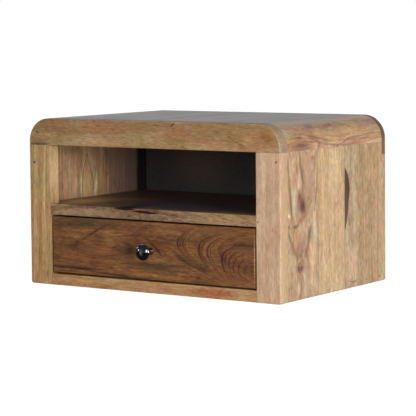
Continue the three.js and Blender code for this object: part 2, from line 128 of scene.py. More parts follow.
class Sheet:
    # the node tree of a material or of the world, written from Python
    def __init__(self, owner):
        self.owner = owner
        owner.use_nodes = True
        self.tree = owner.node_tree
        self.tree.nodes.clear()

    def node(self, kind, settings=None, inputs=None, output=0):
        made = self.tree.nodes.new(kind)
        for key, value in (settings or {}).items():
            if key == "stops":
                self.setStops(made.color_ramp.elements, value)
            else:
                setattr(made, key, value)
        byIdentifier = {socket.identifier: socket for socket in made.inputs}
        for key, value in (inputs or {}).items():
            socket = byIdentifier[key] if key in byIdentifier else made.inputs[key]
            if isinstance(value, Wire):
                self.tree.links.new(value.socket, socket)
            else:
                socket.default_value = value
        if not made.outputs:
            return None
        byIdentifier = {socket.identifier: socket for socket in made.outputs}
        return Wire(self, byIdentifier[output] if output in byIdentifier else made.outputs[output])

    def setStops(self, elements, stops):
        while len(elements) < len(stops):
            elements.new(1)
        for element, (place, colour) in zip(elements, stops):
            element.position = place
            element.color = colour

    def maths(self, operation, first, second=0):
        return self.node("ShaderNodeMath", {"operation": operation}, {0: first, 1: second})

    def vectors(self, operation, inputs, output=0):
        return self.node("ShaderNodeVectorMath", {"operation": operation}, inputs, output)

    def joined(self, x, y, z):
        return self.node("ShaderNodeCombineXYZ", {}, {0: x, 1: y, 2: z})

    def parted(self, vector):
        # any of its outputs, from which .out takes the named one
        return self.node("ShaderNodeSeparateXYZ", {}, {0: vector})

    def coordinates(self, kind):
        return self.node("ShaderNodeTexCoord", output=kind)

    def step(self, value, low, high):
        # 0 at low and 1 at high, smooth in between
        inputs = {"Value": value, "From Min": low, "From Max": high}
        return self.node("ShaderNodeMapRange", {"interpolation_type": "SMOOTHSTEP"}, inputs)

    def mix(self, share, first, second, blend="MIX"):
        inputs = {"Factor_Float": share, "A_Color": first, "B_Color": second}
        return self.node("ShaderNodeMix", {"data_type": "RGBA", "blend_type": blend}, inputs, "Result_Color")

    def mixShaders(self, share, first, second):
        return self.node("ShaderNodeMixShader", {}, {0: share, 1: first, 2: second})

    def stretched(self, place, size, shift):
        # size is the length of one blotch along each axis
        return self.vectors("MULTIPLY_ADD", {0: place, 1: tuple(1 / length for length in size), 2: shift})

    def noise(self, place, size, shift=(0, 0, 0), detail=2, roughness=0.5):
        inputs = {"Vector": self.stretched(place, size, shift), "Scale": 1}
        inputs.update({"Detail": detail, "Roughness": roughness})
        return self.node("ShaderNodeTexNoise", {}, inputs)

    def noiseAlong(self, value, detail=2):
        inputs = {"W": value, "Scale": 1, "Detail": detail}
        return self.node("ShaderNodeTexNoise", {"noise_dimensions": "1D"}, inputs)

    def bump(self, height, strength, depth):
        # depth in millimetres
        inputs = {"Height": height, "Strength": strength, "Distance": depth / perMetre}
        return self.node("ShaderNodeBump", {}, inputs)

    def finish(self, values):
        shader = self.node("ShaderNodeBsdfPrincipled", {}, values)
        self.node("ShaderNodeOutputMaterial", {}, {"Surface": shader})
        return self.owner


def colourOf(written):
    # a colour as it looks on a screen, written rrggbb
    shares = [int(written[i : i + 2], 16) / 255 for i in (0, 2, 4)]
    return tuple(s / 12.92 if s <= 0.04045 else ((s + 0.055) / 1.055) ** 2.4 for s in shares) + (1,)


# Wood

plainBoard = {  # what a board is where its own values don't differ
    "grain": "x",  # the axis that the fibres run along
    "face": "y",  # the axis that the board's show face looks along
    "seed": 0,
    "seedSteps": (3.7, 5.3, 7.9),  # what one seed moves the noise by
    "seedRings": 1.3,
    "tones": ("d3b68a", "b8946a", "7f5a38"),  # pale, body and deep
    "toneStops": (0.12, 0.5, 0.95),
    "end": "9c7a55",  # the end grain
    "endShare": 0.7,
    "endReach": (0.45, 0.95),  # how squarely a face meets the fibres, where end grain starts and is full
    "ringGap": 3,  # between growth rings
    "leanAcross": 0.6,  # growth per millimetre across the face, and into it
    "leanThrough": 0.5,
    "sway": 16,  # how far the rings wander
    "swaySize": (260, 42, 42),  # each size is that of one blotch along, across and into the board
    "ripple": 1.6,
    "rippleSize": (26, 5, 5),
    "bands": 0.35,  # how much each kind of figure tells
    "bandRate": 0.45,  # to a ring
    "lines": 0.25,
    "lineRate": 0.83,
    "lineChance": (0.4, 0.65),  # the noise at which a ring's dark line starts and is full
    "lineReach": (1, 0.85),  # the part of a ring over which the line fades
    "streaks": 0.6,
    "streakLength": 30,
    "streakWidth": 0.5,  # in rings
    "streakDepth": 40,
    "clouds": 0.3,
    "cloudSize": (90, 26, 26),
    "drift": 0.8,
    "driftSize": (70, 22, 22),
    "driftShift": 40,  # keeps the tints apart from the other noise
    "driftReach": (0.38, 0.62),
    "warmTint": "ffeae0",
    "coolTint": "f8f6e8",
    "fibres": 0.42,
    "fibreSize": (9, 0.7, 0.7),
    "fleckSize": (11, 2.4, 2.4),
    "pores": 0.3,
    "poreSize": (6.5, 0.9, 0.9),
    "poreReach": (0.32, 0.1),  # from a pore's middle, where it starts and is full
    "joints": "",  # axes along which both ends of the board are darkened: beside glue where they meet other boards, as painted shade where they face a gap
    "darkEndShare": 0.35,
    "darkEndReach": (0.6, 0.1),  # from the darkened end, where its darkening starts and is full
    "wander": (7, 4),  # of a mark's edge, along and across
    "thinMark": 5,  # below this width a mark wanders less
    "bumpFibres": 0.35,  # height of the fibres, where a pore's depth is 1
    "bumpStrength": 0.35,
    "bumpDepth": 0.4,
    "roughness": 0.46,
    "roughBy": (0.2, 0.16, 0.12),  # what fibres, streaks and pores add to the roughness
    "shine": 0.32,
    "lacquer": 0,
    "lacquerBody": 0.8,
    "lacquerBy": (1.6, 1.2),  # what clouds and streaks add to the lacquer
    "lacquerRoughness": 0.28,
    "hills": [],
    "arches": [],
    "marks": [],
}


def hill(at, size, height):
    # growth that swells round a place, as beside a knot
    return {"at": at, "size": size, "height": height, "turn": 0, "bend": 0}


def arch(at, sharpness, rate, turn=0, soft=10):
    # nested arches that open along the grain from their tip
    made = {"at": at, "size": (1, 1), "sharpness": sharpness, "rate": rate}
    return {**made, "turn": turn, "soft": soft, "bend": 0}


def spot(at, size, colour, share, soft=1, turn=0, bend=0, plane=""):
    # plane names the axes of its place, where these aren't along and across
    made = {"at": at, "size": size, "colour": colour, "share": share, "soft": soft}
    return {**made, "turn": turn, "bend": bend, "plane": plane, "pointed": False}


def streak(at, size, colour, share, soft=1, turn=0, bend=0, plane=""):
    return {**spot(at, size, colour, share, soft, turn, bend, plane), "pointed": True}


def ownAxes(along, across, shape):
    # along and across a hill or mark, 1 at its end and its side
    turn = math.radians(shape["turn"])
    right = along - shape["at"][0]
    up = across - shape["at"][1]
    if turn:
        turned = right * math.cos(turn) + up * math.sin(turn)
        up = up * math.cos(turn) - right * math.sin(turn)
        right = turned
    u = right / shape["size"][0]
    if shape["bend"]:
        up = up - u * u * shape["bend"]
    return u, up / shape["size"][1]


def markMask(sheet, along, across, mark):
    u, v = ownAxes(along, across, mark)
    if mark["pointed"]:
        return sheet.step(1 - u * u - sheet.maths("ABSOLUTE", v), 0, mark["soft"])
    return sheet.step((u * u + v * v) ** 0.5, 1, 1 - mark["soft"])


def placesOf(sheet):
    # one wire for each axis, from the cabinet's middle, front and foot
    origin = (0, -cabinetFront * perMetre, -cabinetFoot * perMetre)
    inputs = {0: sheet.coordinates("Object"), 1: (perMetre,) * 3, 2: origin}
    split = sheet.parted(sheet.vectors("MULTIPLY_ADD", inputs))
    return {axis: split.out(axis.upper()) for axis in "xyz"}


def growthOf(sheet, values, along, across, through, sway, ripple):
    # a slope, swayed by noise and raised by hills and arches, whose contours are the rings
    growth = across * values["leanAcross"] + through * values["leanThrough"]
    growth = growth + sway.swing(values["sway"]) + ripple.swing(values["ripple"])
    for shape in values["hills"]:
        u, v = ownAxes(along, across, shape)
        growth = growth + sheet.maths("EXPONENT", 0 - (u * u + v * v)) * shape["height"]
    for shape in values["arches"]:
        u, v = ownAxes(along, across, shape)
        inside = u - v * v * shape["sharpness"]
        growth = growth + (inside + (inside * inside + shape["soft"] ** 2) ** 0.5) * (shape["rate"] / 2)
    return growth


def woodTone(sheet, values, ring, streaks, clouds):
    # bands, a thin dark line at the end of some rings, streaks and slow clouds
    bands = sheet.noiseAlong(ring * values["bandRate"], detail=3)
    phase = sheet.maths("FRACT", ring)
    chance = sheet.noiseAlong(sheet.maths("FLOOR", ring) * values["lineRate"])
    strength = sheet.step(chance, *values["lineChance"])
    line = phase**3 * sheet.step(phase, *values["lineReach"]) * strength
    tone = 0.5 + bands.swing(values["bands"] * 2) + line * values["lines"]
    return tone + streaks.swing(values["streaks"] * 2) + clouds.swing(values["clouds"] * 2)


def woodColour(sheet, values, tone, drift):
    # the board's tones, tinted warmer in some places and cooler in others
    stops = [(place, colourOf(written)) for place, written in zip(values["toneStops"], values["tones"])]
    colour = sheet.node("ShaderNodeValToRGB", {"stops": stops}, {0: tone})
    tint = sheet.mix(drift, colourOf(values["coolTint"]), colourOf(values["warmTint"]))
    return sheet.mix(values["drift"], colour, tint, "MULTIPLY")


def darkEndsAndGapShade(sheet, values, wire, node, axis):
    # dark beside both ends: beside glue where the board meets others, painted shade where the ends face a gap
    low, high = (corner["xyz".index(axis)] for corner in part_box(node))
    origin = {"x": 0, "y": cabinetFront, "z": cabinetFoot}[axis]
    middle = ((low + high) / 2 - origin) * perMetre
    half = (high - low) / 2 * perMetre
    starts, full = (half - reach for reach in values["darkEndReach"])
    return sheet.step(sheet.maths("ABSOLUTE", wire - middle), starts, full) * values["darkEndShare"]


def lacquerCoat(sheet, values, clouds, streaks):
    # thinner in some places than in others
    if not values["lacquer"]:
        return 0
    byClouds, byStreaks = values["lacquerBy"]
    coat = values["lacquerBody"] + clouds.swing(byClouds) + streaks.swing(byStreaks)
    return sheet.maths("MINIMUM", coat * values["lacquer"], 1)


def woodFinish(node, board):
    values = {**plainBoard, **board}
    sheet = Sheet(bpy.data.materials.new(node + " wood"))
    wires = placesOf(sheet)
    acrossAxis = ({"x", "y", "z"} - {values["grain"], values["face"]}).pop()
    along, across, through = wires[values["grain"]], wires[acrossAxis], wires[values["face"]]
    grain = sheet.joined(along, across, through)
    shift = tuple(values["seed"] * step for step in values["seedSteps"])

    # Growth rings, and the streaks, clouds and tints that lie over them
    sway = sheet.noise(grain, values["swaySize"], shift, detail=1)
    ripple = sheet.noise(grain, values["rippleSize"], shift, detail=3)
    growth = growthOf(sheet, values, along, across, through, sway, ripple)
    ring = growth / values["ringGap"] + values["seed"] * values["seedRings"]
    streakSize = (values["streakLength"], values["streakWidth"], values["streakDepth"])
    streaks = sheet.noise(sheet.joined(along, ring, through), streakSize, shift, detail=5, roughness=0.68)
    clouds = sheet.noise(grain, values["cloudSize"], shift, detail=3, roughness=0.6)
    driftShift = tuple(step + values["driftShift"] for step in shift)
    drift = sheet.step(sheet.noise(grain, values["driftSize"], driftShift), *values["driftReach"])
    colour = woodColour(sheet, values, woodTone(sheet, values, ring, streaks, clouds), drift)

    # End grain, then knots, bark and stains
    facing = sheet.parted(sheet.coordinates("Normal")).out(values["grain"].upper())
    endGrain = sheet.step(sheet.maths("ABSOLUTE", facing), *values["endReach"])
    colour = sheet.mix(endGrain * values["endShare"], colour, colourOf(values["end"]))
    wanderAlong = ripple.swing(values["wander"][0])
    wanderAcross = streaks.swing(values["wander"][1])
    for mark in values["marks"]:
        first, second = (wires[axis] for axis in mark["plane"] or values["grain"] + acrossAxis)
        loose = min(1, mark["size"][1] / values["thinMark"])
        mask = markMask(sheet, first + wanderAlong * loose, second + wanderAcross * loose, mark)
        colour = sheet.mix(mask * mark["share"], colour, colourOf(mark["colour"]))

    # Fibres, flecks, pores and dark ends, which are painted shade where they face a gap
    fibres = sheet.noise(grain, values["fibreSize"], shift)
    flecks = sheet.noise(grain, values["fleckSize"], shift, detail=3, roughness=0.7)
    cells = sheet.stretched(grain, values["poreSize"], shift)
    pores = sheet.node("ShaderNodeTexVoronoi", {}, {"Vector": cells, "Scale": 1})
    pores = sheet.step(pores, *values["poreReach"]) * (1 - endGrain)
    shade = 1 + (fibres + flecks - 1) * (values["fibres"] * 2) - pores * values["pores"]
    for axis in values["joints"]:
        shade = shade - darkEndsAndGapShade(sheet, values, wires[axis], node, axis)

    byFibres, byStreaks, byPores = values["roughBy"]
    roughness = fibres.swing(byFibres) + streaks.swing(byStreaks) + pores * byPores + values["roughness"]
    height = fibres * values["bumpFibres"] - pores
    return sheet.finish(
        {
            "Base Color": sheet.vectors("SCALE", {0: colour, "Scale": shade}),
            "Roughness": roughness,
            "Specular IOR Level": values["shine"],
            "Coat Weight": lacquerCoat(sheet, values, clouds, streaks),
            "Coat Roughness": values["lacquerRoughness"],
            "Normal": sheet.bump(height, values["bumpStrength"], values["bumpDepth"]),
        }
    )


# Pieces

smoothing = {
    "mergeWithin": 0.001,  # millimetres
    "thinnest": 0.0001,
    "sharpFrom": 50,  # degrees between two faces
    "faceWeight": 100,  # how much the larger faces count in the normals
}
bodyOf = {node: body for body, nodes in frame["record"]["behaviour"]["bodies"].items() for node in nodes}


def standFor(made, node):
    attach(made, bodyOf[node])
    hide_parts(node)


def shadeSmooth(mesh):
    mesh.shade_smooth()
    mesh.set_sharp_from_angle(angle=math.radians(smoothing["sharpFrom"]))


def smoothCopy(node):
    # the solid with its doubles merged, so that its curves shade smoothly
    mesh = bpy.data.meshes.new(node + "_smooth")
    shape = bmesh.new()
    shape.from_mesh(frame["nodes"][node].data)
    bmesh.ops.remove_doubles(shape, verts=shape.verts, dist=smoothing["mergeWithin"] / perMetre)
    bmesh.ops.dissolve_degenerate(shape, edges=shape.edges, dist=smoothing["thinnest"] / perMetre)
    shape.to_mesh(mesh)
    shape.free()
    if "custom_normal" in mesh.attributes:
        mesh.attributes.remove(mesh.attributes["custom_normal"])
    shadeSmooth(mesh)
    made = linked(node + "_shown", mesh)
    weighted = made.modifiers.new("weighted normals", "WEIGHTED_NORMAL")
    weighted.keep_sharp = True
    weighted.weight = smoothing["faceWeight"]
    standFor(made, node)
    return made


def dress(node, material, smooth=False):
    shown = smoothCopy(node) if smooth else frame["nodes"][node]
    if not shown.material_slots:
        shown.data.materials.append(material)
    for place in shown.material_slots:
        place.material = material


def dressBoards(boards):
    for node, board in boards.items():
        dress(node, woodFinish(node, board), smooth=True)


# Face frame

faceFrame = {
    "front_top_rail": {
        "lacquer": 0.3,
        "seed": 1,
        "end": "9a836a",
        "endReach": (0.12, 0.6),
        "tones": ("b59b7a", "987a54", "6a4b2d"),
        "ringGap": 3.2,
        "leanAcross": 0.25,
        "bands": 0.3,
        "lines": 0.16,
        "streaks": 0.34,
        "fibres": 0.62,
        "joints": "z",
        "marks": [
            spot((-100, 219), (62, 9), "b9946e", 0.55),
            spot((-110, 233), (80, 5), "9c6434", 0.35),
            spot((-207, 218), (26, 10), "5f3d20", 0.4),
            streak((-205, 213.5), (26, 2.4), "4a2a14", 0.6, 0.5),
            streak((-209, 231), (4, 1.8), "4e2c14", 0.7, 0.5, turn=-20),
            streak((42, 247), (6, 1.5), "3d1a0a", 0.9, 0.5, turn=26),
            streak((12, 246), (9, 1.8), "6b3516", 0.6, 0.5),
            streak((-92, 243), (9, 1.6), "6b3516", 0.5, 0.5, turn=-6),
            streak((-116, 240), (8, 1.2), "6b3516", 0.4, 0.5),
            spot((53, 241), (12, 5), "a85f2a", 0.4),
            streak((150, 226), (26, 1.5), "70451f", 0.5, 0.5, turn=-28, bend=3),
            spot((172, 228), (16, 16), "b28c60", 0.45),
            spot((203, 234), (15, 18), "7f5124", 0.55),
            streak((60, 216), (5, 1.3), "6b4423", 0.6, 0.5),
            streak((18, 216), (4, 1.1), "6b4423", 0.5, 0.5),
            spot((215, 12), (9, 12), "6f563f", 0.5, plane="zy"),
            spot((246, 10), (7, 14), "8c6c4a", 0.5, plane="zy"),
        ],
    },
    "front_bottom_rail": {
        "seed": 2,
        "tones": ("c7a581", "ae8a63", "815a32"),
        "ringGap": 5,
        "bands": 0.3,
        "lines": 0.1,
        "fibres": 0.55,
        "joints": "x",
        "marks": [
            spot((112, 8), (62, 12), "9c5a38", 0.9),
            spot((88, 10), (12, 5), "8e4526", 0.6, turn=30),
            streak((74, 8), (12, 2), "8a4626", 0.6, 0.5, turn=-25),
            streak((122, 10), (10, 2.4), "8a4626", 0.6, 0.5, turn=50),
            streak((138, 9), (9, 2), "8a4626", 0.55, 0.5, turn=-40),
            spot((160, 6), (12, 5), "c08a62", 0.4),
            # painted shade on the rail's top face, in the gap under the drawer
            spot((18, 35), (0.6, 33), "1c1410", 0.9, 0.3, plane="zy"),
            streak((-60, 7), (50, 1.4), "9c6c3c", 0.35, 0.5, turn=3),
            streak((20, 11), (50, 2.4), "9a6230", 0.4, turn=4),
            spot((-130, 9), (45, 5), "c79662", 0.5),
        ],
    },
    "front_left_stile": {
        "grain": "z",
        "seed": 3,
        "tones": ("c5b186", "ab8d61", "836740"),
        "ringGap": 4,
        "leanAcross": 1,
        "sway": 12,
        "bands": 0.42,
        "lines": 0.2,
        "joints": "z",
        "marks": [
            spot((168, -184), (64, 5), "d8b48c", 0.75),
            streak((140, -198), (80, 1.5), "d2b789", 0.75, 0.7, bend=5),
            streak((192, -189), (30, 1), "cdb184", 0.6, 0.7, bend=-2),
            spot((185, -216), (2.2, 3), "3f2a14", 0.9, 0.5),
            spot((199, -216), (1.6, 1.8), "55391c", 0.6, 0.8),
            spot((117, -191), (1.7, 1.5), "4b2c14", 0.8, 0.8),
            spot((14, -195), (16, 9), "8f5a30", 0.45),
            spot((17, -193), (6, 2.6), "6e3517", 0.7),
            spot((97, -222), (5, 2), "80562c", 0.6, 0.8),
        ],
    },
    "front_right_stile": {
        "grain": "z",
        "seed": 4,
        "drift": 0.4,
        "tones": ("c7b199", "b99b80", "9a7a5d"),
        "ringGap": 5,
        "leanAcross": 0.8,
        "sway": 14,
        "bands": 0.3,
        "lines": 0.12,
        "streaks": 0.25,
        "joints": "z",
        "marks": [
            spot((199, 218.5), (2.5, 2.6), "4e2e18", 0.95, 0.8),
            spot((114, 187), (2.2, 2), "6a3018", 0.95, 0.8),
            spot((104, 212), (5.5, 3), "a4623c", 0.6),
            streak((86, 195), (10, 0.9), "a07850", 0.5, 0.5, turn=12),
            streak((32, 218), (4, 0.8), "94683f", 0.6, 0.5),
            streak((20, 216), (7, 0.9), "a57a52", 0.5, 0.5, turn=-18),
            spot((106, 12), (190, 9), "ac9065", 0.55, 0.5, plane="zy"),
        ],
    },
}

dressBoards(faceFrame)
print("face frame dressed")


# Top and corner blocks

topBoard = {"grain": "y", "face": "z", "lacquer": 1}
cornerBlock = {"grain": "y", "face": "x", "lacquer": 1, "joints": "z"}
topBoards = {
    "right_corner_block": {
        **cornerBlock,
        "seed": 17,
        "tones": ("d5b58b", "b99468", "704521"),
        "ringGap": 2.2,
        "leanAcross": 0.55,
        "leanThrough": 0.4,
        "sway": 5,
        "ripple": 2.2,
        "bands": 0.4,
        "lines": 0.4,
        "streaks": 0.55,
        "clouds": 0.15,
        "fibres": 0.5,
        "hills": [hill((60, 198), (110, 26), 20)],
        "marks": [
            spot((54, 216), (50, 14), "77391a", 0.8, 0.8),
            spot((58, 219), (24, 4.4), "451a08", 0.75),
            streak((50, 230), (34, 2.6), "5f3a1c", 0.7, bend=-4),
            streak((60, 235), (40, 2), "6b4522", 0.6, bend=-5),
            streak((205, 214.5), (50, 3), "93471c", 0.65),
            streak((190, 221), (60, 2), "8a5424", 0.5, turn=-2),
            streak((118, 225), (46, 3.4), "63361a", 0.5, turn=-9),
            streak((128, 217), (44, 3.2), "63361a", 0.5, turn=-6),
            spot((150, 236), (60, 5), "b5895a", 0.4),
            streak((22, 245), (26, 2.4), "5a3f28", 0.7, 0.9, turn=-9),
            streak((190, 243), (34, 2.6), "7a5a38", 0.6, turn=-14),
            streak((88, 231), (36, 1.8), "6b4522", 0.6, turn=-6, bend=-2),
            streak((150, 228), (40, 1.6), "7a4c24", 0.5, turn=-5),
            streak((160, 215), (40, 1.8), "70401c", 0.55, turn=-3),
            streak((75, 224), (34, 2), "5f3216", 0.6, turn=-5, bend=-2),
            spot((24, 238), (18, 15), "a5947c", 0.75),
            # painted sheen along the top of the block
            spot((120, 251), (150, 8), "a0907a", 0.6),
        ],
    },
    "left_corner_block": {
        **cornerBlock,
        "seed": 12,
        "tones": ("c7a47a", "a88459", "74502c"),
        "ringGap": 5,
        "lines": 0.35,
        "hills": [hill((190, 215), (80, 22), 18)],
    },
    "top_plank_1": {**topBoard, "seed": 13, "tones": ("a08e74", "84725b", "604f3c")},
    "top_plank_2": {**topBoard, "seed": 14, "tones": ("a08873", "846c59", "5f4a3b")},
    "top_plank_3": {**topBoard, "seed": 15, "tones": ("a69580", "8a7964", "655543")},
    "top_plank_4": {**topBoard, "seed": 16, "tones": ("a18d75", "85715b", "5f4e3c")},
}

dressBoards(topBoards)
print("top dressed")


# Sides

sideBoard = {"grain": "z", "face": "x"}
sideBoards = {
    "right_side_plank_1": {
        **sideBoard,
        "seed": 21,
        "tones": ("c3b19b", "ad9275", "7f5e41"),
        "leanAcross": 0.3,
        "leanThrough": 0.3,
        "sway": 7,
        "ripple": 2,
        "bands": 0.28,
        "lines": 0.22,
        "streakLength": 18,
        "fibres": 0.65,
        "joints": "y",
        "hills": [hill((134, 58), (26, 20), 8), hill((46, 50), (13, 11), 5)],
        "arches": [arch((62, 55), 0.06, 0.14, soft=24)],
        "marks": [
            spot((178, 80), (44, 20), "a98067", 0.7),
            spot((185, 32), (32, 12), "bd9765", 0.45),
            spot((142, 37), (32, 9), "c6bba2", 0.75),
            spot((168, 49), (16, 6), "c8b898", 0.6),
            spot((100, 92), (46, 8), "c4b899", 0.7, turn=-4),
            spot((54, 86), (50, 13), "cba77e", 0.75),
            spot((92, 44), (22, 20), "ad7a48", 0.6, turn=12),
            spot((76, 56), (26, 15), "93695a", 0.75),
            spot((20, 32), (36, 13), "947659", 0.55),
            spot((18, 48), (14, 7), "dcc9ab", 0.5),
            streak((196, 53), (22, 2.6), "6b3d22", 0.8, 0.9, turn=-3),
            streak((177, 58), (17, 4.6), "54301c", 0.85, turn=-10),
            streak((160, 59), (18, 2.6), "7d5236", 0.6),
            streak((192, 43.5), (20, 2.2), "7a4d2c", 0.65),
            streak((180, 21), (36, 2), "7d5333", 0.6),
            streak((140, 26.5), (38, 4.6), "74492c", 0.7, turn=-8, bend=2),
            streak((106, 41), (11, 5), "5e301a", 0.9, turn=90),
            spot((106, 22), (6, 7), "5e301a", 0.75),
            streak((114, 56), (22, 8), "8f5a2c", 0.7, turn=62),
            streak((160, 98), (57, 3.6), "7a5034", 0.75, turn=7, bend=-7),
            streak((87, 77), (28, 7.5), "6a4a36", 0.7, turn=21),
            spot((200, 87), (6, 11), "8a4c2c", 0.7),
            spot((94, 76), (14, 5.5), "4f3828", 0.85, turn=10),
            spot((68, 68), (13, 5), "6d3f28", 0.8, turn=8),
            streak((80, 31), (28, 7), "74492d", 0.7, turn=-33),
            streak((66, 42), (17, 7), "74492d", 0.65, turn=-8),
            spot((136, 56), (29, 25), "74452b", 0.9),
            spot((133, 60), (15, 10), "3a180d", 0.92, turn=-12),
            spot((147, 51), (9, 7), "5c2f1a", 0.8),
            spot((70, 54), (19, 9), "8a6048", 0.75),
            spot((64, 53), (4, 3.4), "50290f", 0.85),
            spot((70, 57), (3, 4), "6a3a20", 0.7),
            spot((55, 58), (6, 4), "6a3a20", 0.75),
            spot((46, 51), (11, 12), "5a2e1a", 0.9, 0.7),
            spot((50, 51), (5, 6), "a37a58", 0.75),
            spot((122, 22.5), (5, 4), "e2ceb6", 0.75),
            spot((8, 57), (1.8, 2.4), "6a4426", 0.7),
        ],
    },
    "right_side_plank_2": {
        **sideBoard,
        "seed": 22,
        "drift": 0.35,
        "tones": ("cbb493", "b99c76", "95734c"),
        "ringGap": 5,
        "leanAcross": 1,
        "sway": 14,
        "bands": 0.3,
        "clouds": 0.18,
        "lines": 0.14,
        "streaks": 0.5,
        "streakLength": 20,
        "fibres": 0.7,
        "pores": 0.34,
        "joints": "y",
        "marks": [
            streak((150, 105.5), (70, 2.6), "aa7c4a", 0.55),
            spot((185, 150), (40, 22), "ccaf84", 0.6),
            spot((135, 139), (19, 6), "b0854f", 0.5),
            spot((120, 118), (40, 7), "b98e5a", 0.35),
            streak((78, 157), (24, 3), "a77b4a", 0.5),
            streak((33, 166), (22, 3), "a0744a", 0.5),
            streak((50, 128), (46, 2.4), "cdb48c", 0.5),
            spot((6, 132), (1.6, 2), "5c3a1e", 0.8, 0.8),
        ],
    },
    "right_side_plank_3": {
        **sideBoard,
        "seed": 23,
        "drift": 0.4,
        "tones": ("beae95", "a8916f", "806447"),
        "ringGap": 5,
        "leanAcross": 0.7,
        "sway": 18,
        "bands": 0.3,
        "lines": 0.15,
        "streakLength": 14,
        "fibres": 0.7,
        "joints": "y",
        "hills": [hill((138, 177), (70, 22), 12)],
        "marks": [
            spot((34, 200), (38, 24), "c19b7c", 0.8, 0.8),
            spot((100, 214), (26, 9), "c09a48", 0.45),
            spot((165, 207), (11, 7), "c58b68", 0.45),
            spot((138, 206), (28, 7), "b5a088", 0.6),
            spot((150, 196), (30, 6), "b98c50", 0.5),
            streak((148, 177), (37, 17), "8a6038", 0.7, 0.5),
            streak((148, 177), (36, 15.5), "3a1c12", 0.97, 0.15),
            streak((131, 177), (46, 12), "4a2617", 0.97, 0.15),
            streak((156, 186), (20, 3.4), "1a0a06", 0.9, 0.9, turn=-4),
            streak((138, 180), (36, 3), "5a2a18", 0.6),
            streak((9, 202), (16, 1.8), "5f3820", 0.75, 0.8, turn=90, bend=-5),
            streak((12, 190), (12, 1.4), "7b4e30", 0.5, 0.8, turn=75),
            streak((40, 176.6), (38, 1.4), "8a6238", 0.5),
        ],
    },
    "right_side_plank_4": {
        **sideBoard,
        "seed": 24,
        "drift": 0.4,
        "tones": ("c1a885", "a78962", "7a5b3a"),
        "ringGap": 3.4,
        "leanAcross": 1.2,
        "bands": 0.24,
        "lines": 0.12,
        "streakLength": 12,
        "clouds": 0.4,
        "fibres": 0.75,
        "pores": 0.36,
        "marks": [
            spot((78, 290), (30, 14), "c48e70", 0.5),
            streak((150, 232), (70, 3), "95683c", 0.4),
            streak((110, 262), (80, 3), "95683c", 0.35),
            streak((60, 240), (50, 2.4), "94693e", 0.4),
            spot((8, 280), (4, 7), "6f4526", 0.6),
        ],
    },
    "left_side_plank_1": {
        **sideBoard,
        "seed": 25,
        "tones": ("c0a990", "a58667", "806146"),
        "leanAcross": 1,
        "bands": 0.25,
        "fibres": 0.55,
        "joints": "y",
        "marks": [
            spot((150, 66), (22, 9), "b98d74", 0.6),
            spot((143, 90), (24, 10), "c9a084", 0.6),
            streak((160, 77), (60, 1.8), "cdbc9c", 0.65),
            streak((150, 79.5), (50, 1), "8f7656", 0.5),
            spot((164, 54), (1.8, 6), "7a5026", 0.7),
            spot((134, 55), (6, 10), "b98a50", 0.5),
            # painted shadow of the top rail, at the top of the niche's wall
            spot((198, 90), (14, 40), "6e4c3c", 0.45),
        ],
    },
    "left_side_plank_2": {
        **sideBoard,
        "seed": 26,
        "tones": ("bda382", "a08363", "76573b"),
        "lines": 0.35,
        "leanAcross": 0.5,
        "sway": 10,
        "bands": 0.25,
        "fibres": 0.55,
        "joints": "y",
        "marks": [
            spot((142, 121), (42, 13), "bf9560", 0.5, 0.9),
            streak((176, 115), (22, 2.6), "80522c", 0.75, turn=20),
            streak((165, 129), (32, 2.6), "74492a", 0.75, turn=-17),
            streak((142, 105), (30, 2.6), "dcc7a6", 0.6),
            streak((172, 111), (20, 1.4), "cdb48a", 0.6, 0.9, turn=18),
            streak((138, 142), (30, 6), "d8c4a2", 0.65, turn=8),
            streak((170, 134), (24, 2.2), "c9b088", 0.6, 0.9, turn=-10),
            spot((189, 121.5), (6, 1.3), "3a2018", 0.85, 0.8),
            spot((150, 155), (30, 8), "b08c56", 0.5),
            spot((186, 172), (26, 6), "3c2c2c", 0.6),
            spot((155, 173), (4, 2.5), "2c1a14", 0.8),
        ],
    },
    "left_side_plank_3": {
        **sideBoard,
        "seed": 27,
        "tones": ("bfa588", "a08365", "775a42"),
        "leanAcross": 0.8,
        "joints": "y",
        "marks": [
            # painted shade on the niche's face of the wall, deeper in the niche
            spot((-203, 205), (16, 70), "775b4f", 0.72, 0.3, plane="xy"),
            streak((138, 192), (22, 2), "5e3c28", 0.5, turn=-38),
            streak((160, 214), (30, 1.6), "b08c70", 0.4),
        ],
    },
    "left_side_plank_4": {
        **sideBoard,
        "seed": 28,
        "tones": ("bca287", "9f8266", "765940"),
        "leanAcross": 1.1,
        "marks": [
            # painted shade on the niche's face of the wall, almost black at the back corner
            spot((-203, 245), (16, 70), "745a56", 0.75, 0.3, plane="xy"),
            spot((-203, 269), (16, 23), "1d1c1e", 0.96, 0.3, plane="xy"),
        ],
    },
}

dressBoards(sideBoards)
print("sides dressed")


# Shelf, bottom and back

